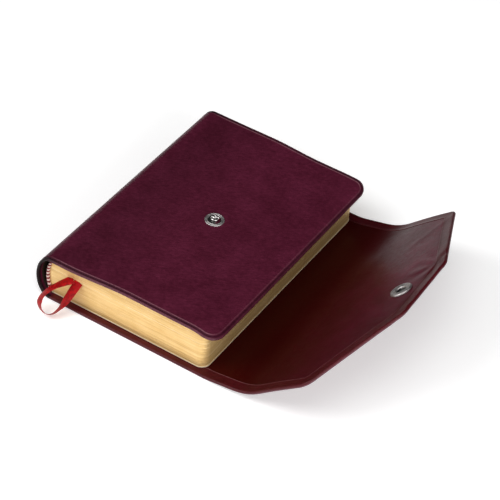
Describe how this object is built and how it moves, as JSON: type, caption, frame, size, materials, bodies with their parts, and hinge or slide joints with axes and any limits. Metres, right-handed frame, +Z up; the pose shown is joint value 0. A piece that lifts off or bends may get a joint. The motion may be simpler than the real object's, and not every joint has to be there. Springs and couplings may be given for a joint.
{
  "type": "prayer book",
  "caption": "Small leather-bound prayer book with gilt page edges, a ribbon marker and a wrap-around flap that closes with a snap.",
  "frame": {"origin": "middle of the back cover's flat underside, which the book lies on", "axes": "+Z up through the pages, +X from the spine to the fore edge and on along the open flap, +Y from tail to head"},
  "size_m": [0.1762, 0.1623, 0.048],
  "materials": {
    "cover_leather": "semi-gloss fine grain",
    "lining_leather": "smooth gloss",
    "board_card": "matte",
    "gilt_pages": "gilt edges, satin",
    "flyleaf_paper": "matte",
    "hollow_paper": "matte kraft",
    "band_silk": "striped red and white silk",
    "spine_muslin": "open weave",
    "sewing_thread": "waxed linen",
    "snap_nickel": "polished nickel",
    "spring_steel": "bright wire",
    "ribbon_satin": "satin"
  },
  "bodies": {
    "back_cover": {"back_cover_leather": "cover_leather", "back_cover_board": "board_card", "back_cover_lining": "lining_leather", "head_band": "band_silk", "tail_band": "band_silk", "spine_leather": "cover_leather", "spine_card": "board_card", "sewing_tapes": "spine_muslin", "kettle_stitches": "sewing_thread", "spine_cloth": "spine_muslin", "hollow_tube": "hollow_paper", "back_flyleaf": "flyleaf_paper", "section_9": "gilt_pages", "section_8": "gilt_pages", "section_7": "gilt_pages", "section_6": "gilt_pages", "section_5": "gilt_pages", "section_4": "gilt_pages", "section_folds": "gilt_pages", "ribbon_strip": "ribbon_satin", "ribbon_loop": "ribbon_satin"},
    "front_cover": {"front_cover_leather": "cover_leather", "front_cover_board": "board_card", "front_cover_lining": "lining_leather", "snap_stud": "snap_nickel", "snap_rivet": "snap_nickel"},
    "front_flyleaf": {"front_flyleaf": "flyleaf_paper"},
    "section_1": {"section_1": "gilt_pages"},
    "section_2": {"section_2": "gilt_pages"},
    "section_3": {"section_3": "gilt_pages"},
    "gusset": {"gusset_leather": "cover_leather", "gusset_hem": "cover_leather", "gusset_lining": "lining_leather"},
    "tongue": {"tongue_leather": "cover_leather", "tongue_hem": "cover_leather", "tongue_lining": "lining_leather", "snap_socket": "snap_nickel", "socket_spring": "spring_steel", "snap_cap": "snap_nickel"}
  },
  "joints": [
    {"name": "cover_hinge", "type": "hinge", "parent": "back_cover", "child": "front_cover", "pos_m": [-0.0426, 0, 0.02655], "axis": [0, -1, 0], "range_deg": [0, 180]},
    {"name": "flyleaf_turn", "type": "hinge", "parent": "back_cover", "child": "front_flyleaf", "pos_m": [-0.037, 0, 0.0244], "axis": [0, -1, 0], "range_deg": [0, 135]},
    {"name": "section_1_turn", "type": "hinge", "parent": "back_cover", "child": "section_1", "pos_m": [-0.0334, 0, 0.02187], "axis": [0, -1, 0], "range_deg": [0, 90]},
    {"name": "section_2_turn", "type": "hinge", "parent": "back_cover", "child": "section_2", "pos_m": [-0.0318, 0, 0.01973], "axis": [0, -1, 0], "range_deg": [0, 60]},
    {"name": "section_3_turn", "type": "hinge", "parent": "back_cover", "child": "section_3", "pos_m": [-0.0308, 0, 0.0176], "axis": [0, -1, 0], "range_deg": [0, 30]},
    {"name": "gusset_hinge", "type": "hinge", "parent": "back_cover", "child": "gusset", "pos_m": [0.0519, 0, 0.0007], "axis": [0, -1, 0], "range_deg": [-7, 73]},
    {"name": "tongue_hinge", "type": "hinge", "parent": "gusset", "child": "tongue", "pos_m": [0.07906, 0, 0.009], "axis": [0, -1, 0], "range_deg": [-21, 67]}
  ],
  "couplings": [
    {"joint": "flyleaf_turn", "follows": "cover_hinge", "ratio": 0.75},
    {"joint": "section_1_turn", "follows": "cover_hinge", "ratio": 0.5},
    {"joint": "section_2_turn", "follows": "cover_hinge", "ratio": 0.33333},
    {"joint": "section_3_turn", "follows": "cover_hinge", "ratio": 0.16667}
  ]
}
